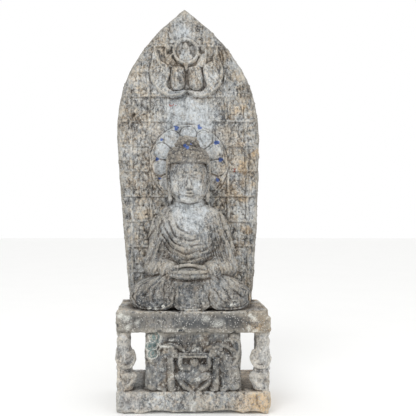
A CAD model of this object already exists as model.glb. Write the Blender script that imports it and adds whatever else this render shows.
import math

import bmesh
import bpy
import numpy as np
import openvdb
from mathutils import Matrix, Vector


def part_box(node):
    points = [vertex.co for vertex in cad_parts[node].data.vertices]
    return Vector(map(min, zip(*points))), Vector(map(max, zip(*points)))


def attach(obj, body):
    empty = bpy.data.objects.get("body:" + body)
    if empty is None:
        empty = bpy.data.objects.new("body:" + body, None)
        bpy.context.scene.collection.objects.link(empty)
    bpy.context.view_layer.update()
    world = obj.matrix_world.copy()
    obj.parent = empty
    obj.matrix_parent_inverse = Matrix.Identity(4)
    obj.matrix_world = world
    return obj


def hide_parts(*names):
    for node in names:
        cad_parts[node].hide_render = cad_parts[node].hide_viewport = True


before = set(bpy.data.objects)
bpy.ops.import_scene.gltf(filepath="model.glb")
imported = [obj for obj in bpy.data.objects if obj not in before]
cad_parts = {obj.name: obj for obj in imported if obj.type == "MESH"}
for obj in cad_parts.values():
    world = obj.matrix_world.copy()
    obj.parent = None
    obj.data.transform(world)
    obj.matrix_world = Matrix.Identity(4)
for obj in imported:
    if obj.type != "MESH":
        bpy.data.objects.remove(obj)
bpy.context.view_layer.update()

# A weathered limestone stele and its pedestal. Each of the two stones is carved as a field of
# distances on a grid of points, in millimetres in the part's own frame, and then turned into a mesh.
# Forms are joined and cut in the field, so that they melt into each other as worn carving does.

MM = 0.001
GRID_STEP = 1.7
TRIANGLE_LIMIT = 190000
FAR = 30.0

# Sizes of the two stones, from the frame where it holds them.
stele_low, stele_high = (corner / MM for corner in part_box("stele"))
_, pedestal_high = (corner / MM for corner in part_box("pedestal"))
PEDESTAL_HALF_WIDTH = pedestal_high.x
FRONT_Y = stele_low.y
BACK_Y = stele_high.y
FOOT_HEIGHT = 61.0
SUPPORT_TOP = pedestal_high.z
SHELF_BOTTOM = stele_low.z
SHELF_THICKNESS = 59.0
SHELF_TOP = SHELF_BOTTOM + SHELF_THICKNESS
LEAF_HEIGHT = stele_high.z - SHELF_TOP
LEAF_THICKNESS = 50.0
LEAF_HALF_WIDTH = 221.5
LEAF_WIDEST = 505.0
LEAF_FOOT_SHARE = 0.86
LEAF_LEAN = 20.0
LEAF_MAP_HALF = 232
WALL_Y = BACK_Y - LEAF_THICKNESS
FIGURE_HEIGHT = 506.0
FIGURE_X = -5.0
NICHE_WIDTH = 60.0
NICHE_HEIGHT = 78.0
NICHE_RIM = 13
FIRST_LEDGE = 94.7
HALO_RADIUS = 122.0
HALO_HEIGHT = 431.0
PETALS = 11
MEDALLION_RADIUS = 37.0
MEDALLION_HEIGHT = 781.0
BLOCK_HALF_WIDTH = 135.5
BLOCK_SETBACK = 16.0
BLOCK_BACK_SETBACK = 10.0
BLOCK_FACE_Y = FRONT_Y + BLOCK_SETBACK
BLOCK_BACK_Y = BACK_Y - BLOCK_BACK_SETBACK
BEARER_X = 4.0
LAP_MARGIN = 4.0
LAP_REACH = 36.8
POST_INSET = 26.0
POST_SETBACK = 14
POST_DEPTH = 74
RELIEF_STEP = 1.5
STROKE_FOLD_DEPTH = 1.2
CHIP_SIZES = (4, 10)

# U is a hundredth of the figure's height and DEEP its unit towards the front. P is a hundredth of the
# height of the pedestal's supports.
U = FIGURE_HEIGHT / 100
DEEP = (BACK_Y - FRONT_Y - LEAF_THICKNESS - LAP_MARGIN) / LAP_REACH
P = (SUPPORT_TOP - FOOT_HEIGHT) / 100


# Noise: smooth random values on a repeating lattice, the same on each run.

def lattice_noise(points, cell, seed, octaves=3):
    """Values of about -1 to 1 at points (n, 3), with features of about cell millimetres."""
    size = 32
    table = np.random.default_rng(seed).uniform(-1, 1, (size, size, size)).astype(np.float32)
    total = np.zeros(len(points), np.float32)
    strength = 1.0
    for octave in range(octaves):
        scaled = points / (cell / 2**octave) + 7.3 * octave
        base = np.floor(scaled).astype(np.int64)
        part = (scaled - base).astype(np.float32)
        part = part * part * (3 - 2 * part)
        for corner in range(8):
            offset = np.array([corner & 1, corner >> 1 & 1, corner >> 2 & 1])
            weight = np.prod(np.where(offset, part, 1 - part), axis=1)
            index = (base + offset) % size
            total += strength * weight * table[index[:, 0], index[:, 1], index[:, 2]]
        strength *= 0.5
    return total


def plane_noise(x, z, cell, seed, octaves=3):
    """The same noise over a plane, for x of shape (n, 1) and z of shape (1, m)."""
    xs, zs = np.broadcast_arrays(x, z)
    points = np.column_stack([xs.ravel(), np.zeros(xs.size), zs.ravel()])
    return lattice_noise(points, cell, seed, octaves).reshape(xs.shape)


def ramp(value, low, high):
    """0 below low, 1 above high, smooth between; low may be the greater."""
    t = np.clip((value - low) / (high - low), 0, 1)
    return t * t * (3 - 2 * t)


def smooth_min(a, b, blend):
    if blend <= 0:
        return np.minimum(a, b)
    h = np.clip(0.5 + 0.5 * (b - a) / blend, 0, 1)
    return b + (a - b) * h - blend * h * (1 - h)


def smooth_max(a, b, blend):
    return -smooth_min(-a, -b, blend)


# The field of one stone.

class Stone:
    def __init__(self, low, high, step):
        self.low = np.array(low, float)
        self.step = step
        counts = np.ceil((np.array(high, float) - self.low) / step).astype(int) + 1
        self.field = np.full(counts, FAR, np.float32)

    def window(self, low, high):
        first = np.clip(np.floor((np.array(low) - self.low) / self.step), 0, None).astype(int)
        last = np.ceil((np.array(high) - self.low) / self.step).astype(int) + 1
        last = np.minimum(last, self.field.shape)
        axes = [self.low[a] + self.step * np.arange(first[a], last[a]) for a in range(3)]
        x, y, z = axes[0][:, None, None], axes[1][None, :, None], axes[2][None, None, :]
        return tuple(slice(first[a], last[a]) for a in range(3)), x, y, z

    def add(self, form, blend=3.0):
        distance, low, high = form
        where, x, y, z = self.window(np.array(low) - 2 * blend - 4, np.array(high) + 2 * blend + 4)
        near = distance(x, y, z)
        self.field[where] = smooth_min(self.field[where], near, blend)

    def cut(self, form, blend=2.0):
        distance, low, high = form
        where, x, y, z = self.window(np.array(low) - 2 * blend - 4, np.array(high) + 2 * blend + 4)
        self.field[where] = smooth_max(self.field[where], -distance(x, y, z), blend)

    def press(self, low, high, amount):
        """Moves the surface outwards by amount(x, y, z) millimetres inside a window."""
        where, x, y, z = self.window(low, high)
        self.field[where] -= amount(x, y, z).astype(np.float32)


def ellipsoid(centre, radii, tilt=0.0):
    """tilt turns it in degrees round the axis that faces the front, clockwise as seen."""
    cx, cy, cz = centre
    rx, ry, rz = radii
    c, s = math.cos(math.radians(tilt)), math.sin(math.radians(tilt))
    reach = max(rx, rz) if tilt else 0
    half = (max(rx, reach), ry, max(rz, reach))

    def distance(x, y, z):
        dx, dy, dz = x - cx, y - cy, z - cz
        px, pz = c * dx - s * dz, s * dx + c * dz
        k0 = np.sqrt((px / rx) ** 2 + (dy / ry) ** 2 + (pz / rz) ** 2)
        k1 = np.sqrt((px / rx**2) ** 2 + (dy / ry**2) ** 2 + (pz / rz**2) ** 2) + 1e-6
        return k0 * (k0 - 1) / k1

    return distance, np.subtract(centre, half), np.add(centre, half)


def smooth_path(points, count):
    """Points along a Catmull-Rom curve through the given points."""
    points = np.array(points, float)
    ends = np.vstack([2 * points[0] - points[1], points, 2 * points[-1] - points[-2]])
    made = []
    for t in np.linspace(0, len(points) - 1 - 1e-6, count):
        i = int(t)
        f = t - i
        a, b, c, d = ends[i : i + 4]
        made.append(0.5 * (2 * b + (c - a) * f + (2 * a - 5 * b + 4 * c - d) * f**2
                           + (3 * b - a - 3 * c + d) * f**3))
    return np.array(made)


def tube(points, radii, count=10):
    """A round bar along a curve. radii are spread evenly along it."""
    path = smooth_path(points, count)
    widths = np.interp(np.linspace(0, 1, count), np.linspace(0, 1, len(radii)), radii)
    low = path.min(0) - widths.max()
    high = path.max(0) + widths.max()

    def distance(x, y, z):
        best = None
        for a, b, ra, rb in zip(path[:-1], path[1:], widths[:-1], widths[1:]):
            along = b - a
            px, py, pz = x - a[0], y - a[1], z - a[2]
            t = (px * along[0] + py * along[1] + pz * along[2]) / max(along @ along, 1e-9)
            t = np.clip(t, 0, 1)
            near = np.sqrt((px - t * along[0]) ** 2 + (py - t * along[1]) ** 2 + (pz - t * along[2]) ** 2)
            near = near - (ra + (rb - ra) * t)
            best = near if best is None else np.minimum(best, near)
        return best

    return distance, low, high


def block(centre, half, rounding=4.0):
    cx, cy, cz = centre
    hx, hy, hz = (h - rounding for h in half)

    def distance(x, y, z):
        qx, qy, qz = np.abs(x - cx) - hx, np.abs(y - cy) - hy, np.abs(z - cz) - hz
        outside = np.sqrt(np.maximum(qx, 0) ** 2 + np.maximum(qy, 0) ** 2 + np.maximum(qz, 0) ** 2)
        return outside + np.minimum(np.maximum(np.maximum(qx, qy), qz), 0) - rounding

    return distance, np.subtract(centre, half), np.add(centre, half)


# Low relief on a wall that faces the front: a map of heights over x and z.

class Relief:
    def __init__(self, x_range, z_range, step):
        self.x = np.arange(x_range[0], x_range[1] + step, step)[:, None]
        self.z = np.arange(z_range[0], z_range[1] + step, step)[None, :]
        self.step = step
        self.height = np.zeros((self.x.size, self.z.size))

    def raised(self, heights):
        self.height = np.maximum(self.height, heights)

    def local(self, cx, cz, reach):
        """The part of the map within reach of a point, as (slices, x, z)."""
        i0 = int(np.searchsorted(self.x[:, 0], cx - reach))
        i1 = int(np.searchsorted(self.x[:, 0], cx + reach))
        j0 = int(np.searchsorted(self.z[0], cz - reach))
        j1 = int(np.searchsorted(self.z[0], cz + reach))
        return (slice(i0, i1), slice(j0, j1)), self.x[i0:i1], self.z[:, j0:j1]

    def dome(self, cx, cz, rx, rz, height, tilt=0.0):
        where, x, z = self.local(cx, cz, max(rx, rz) + 2)
        c, s = math.cos(math.radians(tilt)), math.sin(math.radians(tilt))
        px, pz = c * (x - cx) - s * (z - cz), s * (x - cx) + c * (z - cz)
        share = np.clip(1 - (px / rx) ** 2 - (pz / rz) ** 2, 0, 1)
        self.height[where] = np.maximum(self.height[where], height * share**0.5)

    def stroke(self, points, widths, height, folds=0, count=24):
        """A rounded band along a curve. folds is how many ridges run along it."""
        path = smooth_path(points, count)
        spread = np.interp(np.linspace(0, 1, count), np.linspace(0, 1, len(widths)), widths)
        middle = (path.min(0) + path.max(0)) / 2
        reach = np.abs(path - middle).max() + spread.max() + 3
        where, x, z = self.local(middle[0], middle[1], reach)
        x, z = np.broadcast_arrays(x, z)
        best = np.full(x.shape, 9.0)
        side = np.zeros(x.shape)
        for a, b, wa, wb in zip(path[:-1], path[1:], spread[:-1], spread[1:]):
            along = b - a
            px, pz = x - a[0], z - a[1]
            t = np.clip((px * along[0] + pz * along[1]) / max(along @ along, 1e-9), 0, 1)
            dx, dz = px - t * along[0], pz - t * along[1]
            width = wa + (wb - wa) * t
            share = np.sqrt(dx**2 + dz**2) / width
            closer = share < best
            best = np.where(closer, share, best)
            side = np.where(closer, np.sign(along[0] * dz - along[1] * dx) * share, side)
        form = height * np.sqrt(np.clip(1 - best**2, 0, 1))
        if folds:
            ridges = np.cos(math.pi * folds * side) - 1
            form = form + STROKE_FOLD_DEPTH * ridges * (best < 1) * ramp(best, 1, 0.8)
        self.height[where] = np.maximum(self.height[where], np.where(best < 1, form, 0))

    def patch(self, outline, height, edge, folds=None):
        """A raised form with a smooth closed outline. Its border is rounded over edge millimetres.
        folds is (direction in degrees, spacing, depth)."""
        closed = list(outline) + [outline[0]]
        path = smooth_path(closed, 4 * len(closed))
        middle = (path.min(0) + path.max(0)) / 2
        where, x, z = self.local(middle[0], middle[1], np.abs(path - middle).max() + 3)
        x, z = np.broadcast_arrays(x, z)
        nearest = np.full(x.shape, 999.0)
        inside = np.zeros(x.shape, bool)
        for a, b in zip(path[:-1], path[1:]):
            along = b - a
            t = np.clip(((x - a[0]) * along[0] + (z - a[1]) * along[1]) / max(along @ along, 1e-9), 0, 1)
            nearest = np.minimum(nearest, np.hypot(x - a[0] - t * along[0], z - a[1] - t * along[1]))
            crosses = (a[1] > z) != (b[1] > z)
            at_x = a[0] + (z - a[1]) * along[0] / (along[1] if abs(along[1]) > 1e-9 else 1e-9)
            inside ^= crosses & (x < at_x)
        share = np.clip(nearest / edge, 0, 1)
        form = height * np.sqrt(1 - (1 - share) ** 2)
        if folds:
            turn, spacing, depth = folds
            across = x * math.cos(math.radians(turn)) + z * math.sin(math.radians(turn))
            wave = np.abs(np.sin(math.pi * across / spacing + 0.5 * np.sin(z / 9)))
            form = form - depth * (1 - wave**0.6) * share
        self.height[where] = np.maximum(self.height[where], np.where(inside, form, 0))

    def keep_creases(self, reach):
        """Notes how deep each spot lies under the mean of its neighbourhood."""
        smooth = self.height
        for axis in (0, 1):
            total = np.zeros(smooth.shape)
            for shift in range(-reach, reach + 1):
                total += np.roll(smooth, shift, axis)
            smooth = total / (2 * reach + 1)
        self.crease = smooth - self.height

    def crease_at(self, xs, zs):
        ix = np.clip(((xs - self.x[0, 0]) / self.step).round().astype(int), 0, self.x.size - 1)
        iz = np.clip(((zs - self.z[0, 0]) / self.step).round().astype(int), 0, self.z.size - 1)
        return self.crease[ix, iz]

    def at(self, xs, zs):
        """Heights at the grid points xs (n,) and zs (m,), read between the map's points."""
        fx = (xs - self.x[0, 0]) / self.step
        fz = (zs - self.z[0, 0]) / self.step
        ix = np.clip(fx.astype(int), 0, self.x.size - 2)
        iz = np.clip(fz.astype(int), 0, self.z.size - 2)
        tx = np.clip(fx - ix, 0, 1)[:, None]
        tz = np.clip(fz - iz, 0, 1)[None, :]
        h = self.height
        row0 = h[np.ix_(ix, iz)] * (1 - tz) + h[np.ix_(ix, iz + 1)] * tz
        row1 = h[np.ix_(ix + 1, iz)] * (1 - tz) + h[np.ix_(ix + 1, iz + 1)] * tz
        return row0 * (1 - tx) + row1 * tx


# The leaf: outline, niches, halo and the flying pair, laid out over x and the height above the shelf.

def leaf_half_width(height):
    rise = np.clip((height - LEAF_WIDEST) / (LEAF_HEIGHT - LEAF_WIDEST), 0, 1.2)
    drop = np.clip((LEAF_WIDEST - height) / LEAF_WIDEST, 0, 1.1)
    upper = LEAF_HALF_WIDTH * (1 - rise**2.45)
    lower = LEAF_HALF_WIDTH * (1 - (1 - LEAF_FOOT_SHARE) * drop**1.4)
    return np.where(height >= LEAF_WIDEST, upper, lower)


def leaf_outline_distance(x, height):
    half = leaf_half_width(height)
    slope = leaf_half_width(height + 1) - half
    return (np.abs(x) - half) / np.sqrt(1 + slope**2)


def carve_niche_figure(relief, x, foot, wear, turn):
    """A seated figure in its niche: an arch, a lap, a body with sleeves and a head. x is the
    middle, foot the height of its seat, and wear is 1 where the carving is crisp."""
    w, h = NICHE_WIDTH - NICHE_RIM, NICHE_HEIGHT - NICHE_RIM
    tall = 7.5 * wear
    relief.stroke([(x - 0.44 * w, foot + 0.3 * h), (x - 0.42 * w, foot + 0.78 * h), (x, foot + 1.03 * h),
                   (x + 0.42 * w, foot + 0.78 * h), (x + 0.44 * w, foot + 0.3 * h)],
                  [2.6], 2.6 * wear, count=14)
    relief.dome(x, foot + 0.12 * h, 0.47 * w, 0.17 * h, tall)
    for side in (-1, 1):
        relief.dome(x + side * 0.24 * w, foot + 0.12 * h, 0.22 * w, 0.12 * h, 1.12 * tall)
    relief.dome(x, foot + 0.4 * h, 0.27 * w, 0.3 * h, 0.95 * tall)
    for side in (-1, 1):
        relief.stroke([(x + side * 0.2 * w, foot + 0.58 * h), (x + side * 0.3 * w, foot + 0.38 * h),
                       (x + side * 0.08 * w, foot + 0.25 * h)], [4.2, 5.0, 3.4], 1.05 * tall, count=8)
    relief.dome(x + turn, foot + 0.79 * h, 0.15 * w, 0.14 * h, 1.15 * tall)
    relief.dome(x + turn, foot + 0.92 * h, 0.07 * w, 0.05 * h, 0.9 * tall)


def carve_leaf():
    relief = Relief((-LEAF_MAP_HALF, LEAF_MAP_HALF), (-4, LEAF_HEIGHT + 8), RELIEF_STEP)
    x, z = relief.x, relief.z
    rng = np.random.default_rng(11)
    wobble = 1.6 * plane_noise(x, z, 60, 3, 2)
    bleach = leaf_bleach(x, z)
    wear = np.clip(0.86 - 0.55 * bleach + 0.22 * plane_noise(x, z, 70, 5, 2), 0.15, 1)

    # Niche figures, row by row.
    for row in range(-1, 10):
        foot = FIRST_LEDGE + row * NICHE_HEIGHT + 5
        for column in range(-4, 4):
            middle = (column + 0.5) * NICHE_WIDTH
            edge = leaf_half_width(np.array(foot + 0.8 * NICHE_HEIGHT))
            edge = min(float(edge), float(leaf_half_width(np.array(foot))))
            if abs(middle) + 8 < edge:
                bleached = leaf_bleach(np.array([[middle]]), np.array([[foot + 40.0]]))[0, 0]
                crisp = float(np.clip(0.9 - 0.5 * bleached + rng.uniform(-0.25, 0.12), 0.3, 1))
                carve_niche_figure(relief, middle, foot, crisp, rng.uniform(-2, 2))

    # Bands between the columns and ledges under the rows.
    columns = (x + wobble + NICHE_WIDTH / 2) % NICHE_WIDTH - NICHE_WIDTH / 2
    band = 5.0 * ramp(np.abs(columns), 5.5, 2.5)
    relief.raised(band * (0.55 + 0.45 * wear))
    rows = (z - FIRST_LEDGE + 0.8 * wobble + NICHE_HEIGHT / 2) % NICHE_HEIGHT - NICHE_HEIGHT / 2
    ledge = np.where(rows > 0, ramp(rows, 11, 0), ramp(rows, -3.5, 0)) * 6.0
    relief.raised(ledge * (0.5 + 0.5 * wear))
    shade = 2.2 * ramp(np.abs(rows + 5.5), 4.5, 1)
    relief.height = relief.height - shade * wear
    relief.height = relief.height * (0.35 + 0.65 * wear)

    carve_halo(relief)
    carve_flying_pair(relief)

    # Erosion: a soft waviness, a rim that has lost its carving, and shallow scars.
    rim = -leaf_outline_distance(x, z + 0 * x)
    relief.height = relief.height * ramp(rim, 5, 18)
    relief.height = relief.height + 1.0 * plane_noise(x, z, 26, 8, 3) + 0.7 * plane_noise(x, z, 7, 9, 2)
    scars = ramp(plane_noise(x, z, 45, 21, 3), 0.55, 0.95)
    relief.height = relief.height - 2.5 * scars
    relief.keep_creases(4)
    return relief


def leaf_bleach(x, height):
    """How far rain has bleached and worn the leaf: most above the halo and at its right."""
    middle = np.exp(-((x + 3) / 62) ** 2 - ((height - 590) / 62) ** 2)
    halo = 0.75 * np.exp(-((x + 40) / 60) ** 2 - ((height - 480) / 80) ** 2)
    halo = halo + 0.6 * np.exp(-((x - 50) / 60) ** 2 - ((height - 500) / 70) ** 2)
    tip = 0.6 * np.exp(-((x + 2) / 34) ** 2 - ((height - 832) / 42) ** 2)
    return np.clip(middle + halo + tip, 0, 1)


def halo_pattern(x, height):
    """Where the halo is, how far its petals stand out and where its lines are cut, each 0 to 1."""
    dx, dz = x + 0 * height, height - HALO_HEIGHT + 0 * x
    r = np.hypot(dx, dz)
    inside = ramp(r, HALO_RADIUS + 1.5, HALO_RADIUS - 1.5)
    pitch = 2 * math.pi / PETALS
    local = (np.arctan2(dx, dz) + pitch / 2) % pitch - pitch / 2
    along, across = r * np.cos(local), r * np.sin(local)
    reach, foot = 0.95 * HALO_RADIUS, 0.3 * HALO_RADIUS
    share = np.clip((along - foot) / (reach - foot), 0, 1)
    half = 0.212 * HALO_RADIUS * np.clip(np.sin(math.pi * share**1.9), 0, 1) ** 0.45
    margin = np.minimum(half - np.abs(across), reach - along)
    petals = ramp(margin, 0, 10)
    lines = np.maximum(ramp(np.abs(margin + 0.5), 3.2, 0.8), 0.55 * ramp(np.abs(margin - 8.5), 2.6, 0.6))
    lines = lines * ramp(r, HALO_RADIUS - 1, HALO_RADIUS - 4)
    lines = np.maximum(lines, ramp(np.abs(r - HALO_RADIUS - 0.5), 3.4, 1.2))
    return inside, petals, lines


def carve_halo(relief):
    inside, petals, lines = halo_pattern(relief.x, relief.z)
    disc = 5.5 + 2.4 * petals
    relief.height = relief.height * (1 - inside) + inside * disc - 3.4 * lines


# Outlines of the right one of the flying pair, in millimetres from the ring's centre.
FLYING_SCARF = [(98, 14), (108, -29), (113, -65), (103, -101), (79, -130), (50, -143), (22, -139),
                (1, -125), (14, -121), (44, -124), (61, -109), (56, -89), (50, -65), (57, -43),
                (78, -31), (92, -22)]
FLYING_BODY = [(6, -52), (26, -46), (45, -50), (50, -86), (47, -113), (28, -124), (10, -113), (5, -86)]


def carve_flying_pair(relief):
    """Two figures bent in a U hold up a ring with a small figure in it."""
    r = MEDALLION_RADIUS
    x, z = relief.x, relief.z
    ring = np.hypot(x, z - MEDALLION_HEIGHT)
    near = np.hypot(x / 118, (z - MEDALLION_HEIGHT + 55) / 92)
    relief.height = relief.height * ramp(near, 0.8, 1.02)
    for side in (-1, 1):
        def path(*spots):
            return [(side * a, MEDALLION_HEIGHT + b) for a, b in spots]

        # A broad scarf swings round the outside up to a tip, over a body whose robe hangs in the middle.
        relief.patch(path(*FLYING_SCARF), 12, 9, (40 if side > 0 else 140, 11, 3.4))
        hem = path((103, -30), (111, -64), (100, -103), (78, -128), (50, -139), (22, -135), (3, -124))
        relief.stroke(hem, [3, 5.5, 6, 6, 6, 5.5, 3], 15)
        inner = path((97, 12), (93, -12), (86, -36), (70, -62), (62, -90))
        relief.stroke(inner, [4, 7, 8, 6, 4], 15, folds=1)
        relief.patch(path(*FLYING_BODY), 17, 17, (12 if side > 0 else -12, 13, 1.6))
        relief.patch(path((30, -46), (40, -22), (55, -6), (64, -22), (60, -44), (46, -52)), 12, 12)
        relief.stroke(path((56, -28), (46, -14), (36, -8)), [5, 5, 4], 14)
        relief.stroke(path((60, -20), (62, 2), (50, 16), (38, 16)), [5, 5, 4, 4], 11)
        relief.dome(side * 55, MEDALLION_HEIGHT + 10, 8.5, 10, 14)
    relief.height = np.where(ring < r - 4, np.minimum(relief.height, 0.5), relief.height)
    relief.raised(11 * np.sqrt(np.clip(1 - ((ring - r) / 6) ** 2, 0, 1)))
    relief.dome(0, MEDALLION_HEIGHT - 0.5 * r, 0.66 * r, 0.4 * r, 9)
    relief.dome(0, MEDALLION_HEIGHT - 0.1 * r, 0.42 * r, 0.44 * r, 10)
    relief.dome(0, MEDALLION_HEIGHT + 0.36 * r, 0.27 * r, 0.31 * r, 13)
    relief.dome(0, MEDALLION_HEIGHT + 0.62 * r, 0.11 * r, 0.11 * r, 11)
    relief.stroke([(0, MEDALLION_HEIGHT - 1.1 * r), (0, MEDALLION_HEIGHT - 1.6 * r)], [8, 5], 12)


def leaf_form(relief):
    def distance(x, y, z):
        height = z - SHELF_TOP
        heights = relief.at(x[:, 0, 0], height[0, 0, :])[:, None, :]
        front = (WALL_Y - heights) - y
        rough = 1.3 * np.sin(z / 9.0 + 2.0 * np.sin(x / 31.0)) * np.sin(x / 17.0 + z / 43.0)
        back = y - (BACK_Y - 1.4) - 0.6 * rough
        outline = leaf_outline_distance(x, height) + 0.8 * np.sin(z / 13.0) * np.sin(z / 29.0)
        outline = np.maximum(outline, -height - 8)
        across = smooth_max(0.92 * front, back, 8)
        return smooth_max(across, outline + 0 * y, 7)

    low = (-LEAF_MAP_HALF, WALL_Y - 24, SHELF_TOP - 10)
    return distance, low, (LEAF_MAP_HALF, BACK_Y + 6, SHELF_TOP + LEAF_HEIGHT + 6)


# The seated figure, laid out in hundredths of its height: x from its own axis, d forward from the
# leaf's face and z above the shelf.

def spot(x, d, z):
    return np.array([FIGURE_X + x * U, WALL_Y - d * DEEP, SHELF_TOP + z * U])


def ball(centre, radii, tilt=0.0):
    return ellipsoid(spot(*centre), [r * U for r in radii], tilt)


def bar(points, radii, count=10):
    return tube([spot(*p) for p in points], [r * U for r in radii], count)


def sided(side, *places):
    """Places (x, d, z) with x outwards on one side of the figure's axis."""
    return [(side * x, d, z) for x, d, z in places]


def figure_axes(x, y, z):
    return (x - FIGURE_X) / U, (WALL_Y - y) / DEEP, (z - SHELF_TOP) / U


def swept(rows, roundness, wide, deep, centre=0.0):
    """A body of oval sections, all within wide and deep. rows are [height, half width, reach]."""
    rows = np.array(rows, float)

    def distance(x, y, z):
        px, pd, pz = figure_axes(x, y, z)
        half = np.interp(pz, rows[:, 0], rows[:, 1])
        reach = np.interp(pz, rows[:, 0], rows[:, 2]) - centre
        depth = np.where(pd > centre, (pd - centre) / reach, (centre - pd) / (centre + 2.0))
        share = (np.abs(px / half) ** roundness + np.abs(depth) ** roundness) ** (1 / roundness)
        walls = (share - 1) * np.minimum(half, reach) * U * 0.8
        ends = np.maximum(rows[0, 0] - pz, pz - rows[-1, 0]) * U
        return smooth_max(walls, ends + 0 * px, 8)

    return distance, spot(-wide, deep, rows[0, 0] - 1), spot(wide, -1, rows[-1, 0] + 1)


TRUNK = [[6, 18, 24], [14, 17.6, 24.5], [22, 17.2, 24.5], [30, 17.2, 25.2], [38, 18, 25], [44, 19.4, 24],
         [48, 20.2, 22.8], [51, 19.4, 21.6], [53.5, 17.2, 20.4], [55.5, 14.6, 19.6], [57.5, 11.6, 19],
         [60, 9.2, 18.6], [67, 8.6, 18.4]]
LAP = [[-1.5, 34.8, 36.3], [1, 35.2, 36.6], [4, 35.6, 36.2], [8, 35.2, 35.8], [11, 33.8, 35.2],
       [13.5, 31.2, 33.8], [15.5, 28.2, 31.6], [17.2, 24.6, 28.5], [18.8, 20.5, 25], [20.4, 15, 22]]
HEAD_D = 15.0


def build_trunk(stone):
    stone.add(swept(TRUNK, 2.5, 24, 27), 4)
    for side in (-1, 1):
        out = 0.9 if side > 0 else -0.4
        upper = sided(side, (11, 11, 53.6), (14.2 + out, 12, 50), (17.2 + out, 12.5, 43),
                      (18.2 + out, 13, 34), (19 + out, 15, 24))
        stone.add(bar(upper, [5.4, 6.2, 6.6, 6.9, 7.4], 14), 20)
        lower = sided(side, (19.4 + out, 15, 22), (16.8, 22.5, 22.6), (11.4, 28, 23))
        stone.add(bar(lower, [7.4, 6.2, 4.2]), 16)
        stone.add(ball((side * 13.4, 27, 21), (4.2, 4.8, 4.2), side * 20), 7)
        # The arm is fused to the leaf behind it.
        stone.add(bar(sided(side, (16, 4, 48), (19, 4, 36), (20.4, 4, 22)), [4.5, 5, 5.6], 8), 12)


def build_lap(stone):
    stone.add(swept(LAP, 2.7, 37, 37, 15.0), 9)
    for side in (-1, 1):
        stone.add(bar(sided(side, (8, 27, 14), (19, 29, 13.6), (27, 24.5, 10.5)), [4, 5.4, 4.6], 8), 12)


def lobe_distance(px, pz, middle, half, top, lean):
    """Distance in hundredths to a tongue of cloth with a blunt round lower end, below 0 inside."""
    x = np.abs(px - middle - lean * (pz - 2)) / half
    drop = 0.62 * half
    down = np.clip((drop - pz) / drop, 0, 2)
    below = ((x**2.5 + down**2.5) ** (1 / 2.5) - 1) * half
    return np.maximum(below, pz - top)


# The folds over the knees, as curves of (x, z) in hundredths.
KNEE_FOLDS = [
    [(18.3, 24), (23.5, 20.6), (29.6, 16), (33, 12)],
    [(17.6, 19.4), (20.6, 15.1), (24.5, 10.5), (29.6, 7)],
    [(14.6, 19.6), (17.2, 14), (21, 8), (25, 4.4)],
    [(10.4, 15), (14.4, 9.6), (18.6, 4.6)],
    [(22, 17.4), (26, 13.6), (31, 10.4)],
    [(-12, 20), (-14.6, 15.6), (-15.4, 9), (-14.4, 5)],
    [(-13.4, 20.6), (-18, 17.4), (-22.6, 13), (-26.7, 7.4)],
    [(-18, 19.6), (-23.7, 16.6), (-28.8, 12.6), (-32, 8.4)],
    [(-17.6, 16.2), (-20.8, 10.4), (-21.6, 4.8)],
    [(-10.4, 18), (-12.4, 11), (-11.8, 6)],
]


def near_lines(px, pz, lines):
    """Distance in hundredths to the nearest of some smooth open curves."""
    nearest = np.full(np.broadcast(px, pz).shape, 99.0)
    for line in lines:
        path = smooth_path([(a, 0.0, b) for a, b in line], 12)
        for start, end in zip(path[:-1], path[1:]):
            run = np.array([end[0] - start[0], end[2] - start[2]])
            along = ((px - start[0]) * run[0] + (pz - start[2]) * run[1]) / max(run @ run, 1e-6)
            along = np.clip(along, 0, 1)
            away = np.hypot(px - start[0] - along * run[0], pz - start[2] - along * run[1])
            nearest = np.minimum(nearest, away)
    return nearest


def skirt_folds(x, y, z):
    """What the lap's cloth adds: three hanging lobes with double outlines, and folds over each knee."""
    px, pd, pz = figure_axes(x, y, z)
    px, pz = px + 0 * pz, pz + 0 * px
    px = px + 0.35 * np.sin(pz * 1.1)
    lobes = [(0.4, 9.8, 24, 0.0), (-22.6, 13.2, 24, 0.10), (23.2, 13.0, 24, -0.10)]
    total = np.zeros(px.shape)
    nearest = np.full(px.shape, 99.0)
    for middle, half, top, lean in lobes:
        d = lobe_distance(px, pz, middle, half, top, lean)
        nearest = np.minimum(nearest, d)
        low = ramp(pz, 13.5, 9)
        total = total + (0.8 * ramp(d, 0.2, -1.8) - 2.4 * ramp(np.abs(d + 0.1), 0.6, 0.15)) * low
        total = total - (1.8 * ramp(np.abs(d + 2.5), 0.6, 0.12) + 0.9 * ramp(np.abs(d + 4.8), 0.6, 0.1)) * low
    total = total - 12.0 * ramp(nearest, 0.2, 1.6) * ramp(pz, 5, 2.5)
    away = near_lines(px, pz, KNEE_FOLDS)
    total = total - 2.3 * ramp(away, 0.62, 0.1) + 0.7 * ramp(np.abs(away - 1.6), 1.0, 0.2)
    comb = np.arctan2(23 - pz, np.abs(px) - 3) * 30 + 1.3 * np.sin(0.25 * np.hypot(23 - pz, px))
    total = total + 0.75 * np.sin(comb) * ramp(np.abs(px), 9, 13) * ramp(pz, 0, 3)
    centre_lines = np.abs(np.sin(px * 0.62 + 0.2)) ** 0.4
    total = total + 1.6 * (centre_lines - 0.8) * ramp(np.abs(px), 9.5, 7) * ramp(pz, 5, 9)
    between = np.abs(np.abs(px - 0.4) - 9.6 - 0.05 * (pz - 10))
    total = total - 1.3 * ramp(between, 0.8, 0.15) * ramp(pz, 8, 12)
    return total * ramp(pd, 17, 24)


# The robe's folds: how far from the foot of the neck each one's edge runs, and how high it stands.
FOLD_EDGES = [(9.3, 4.6), (12.6, 4.2), (15.5, 4.6), (18.6, 4.4), (21.4, 3.4)]


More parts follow.
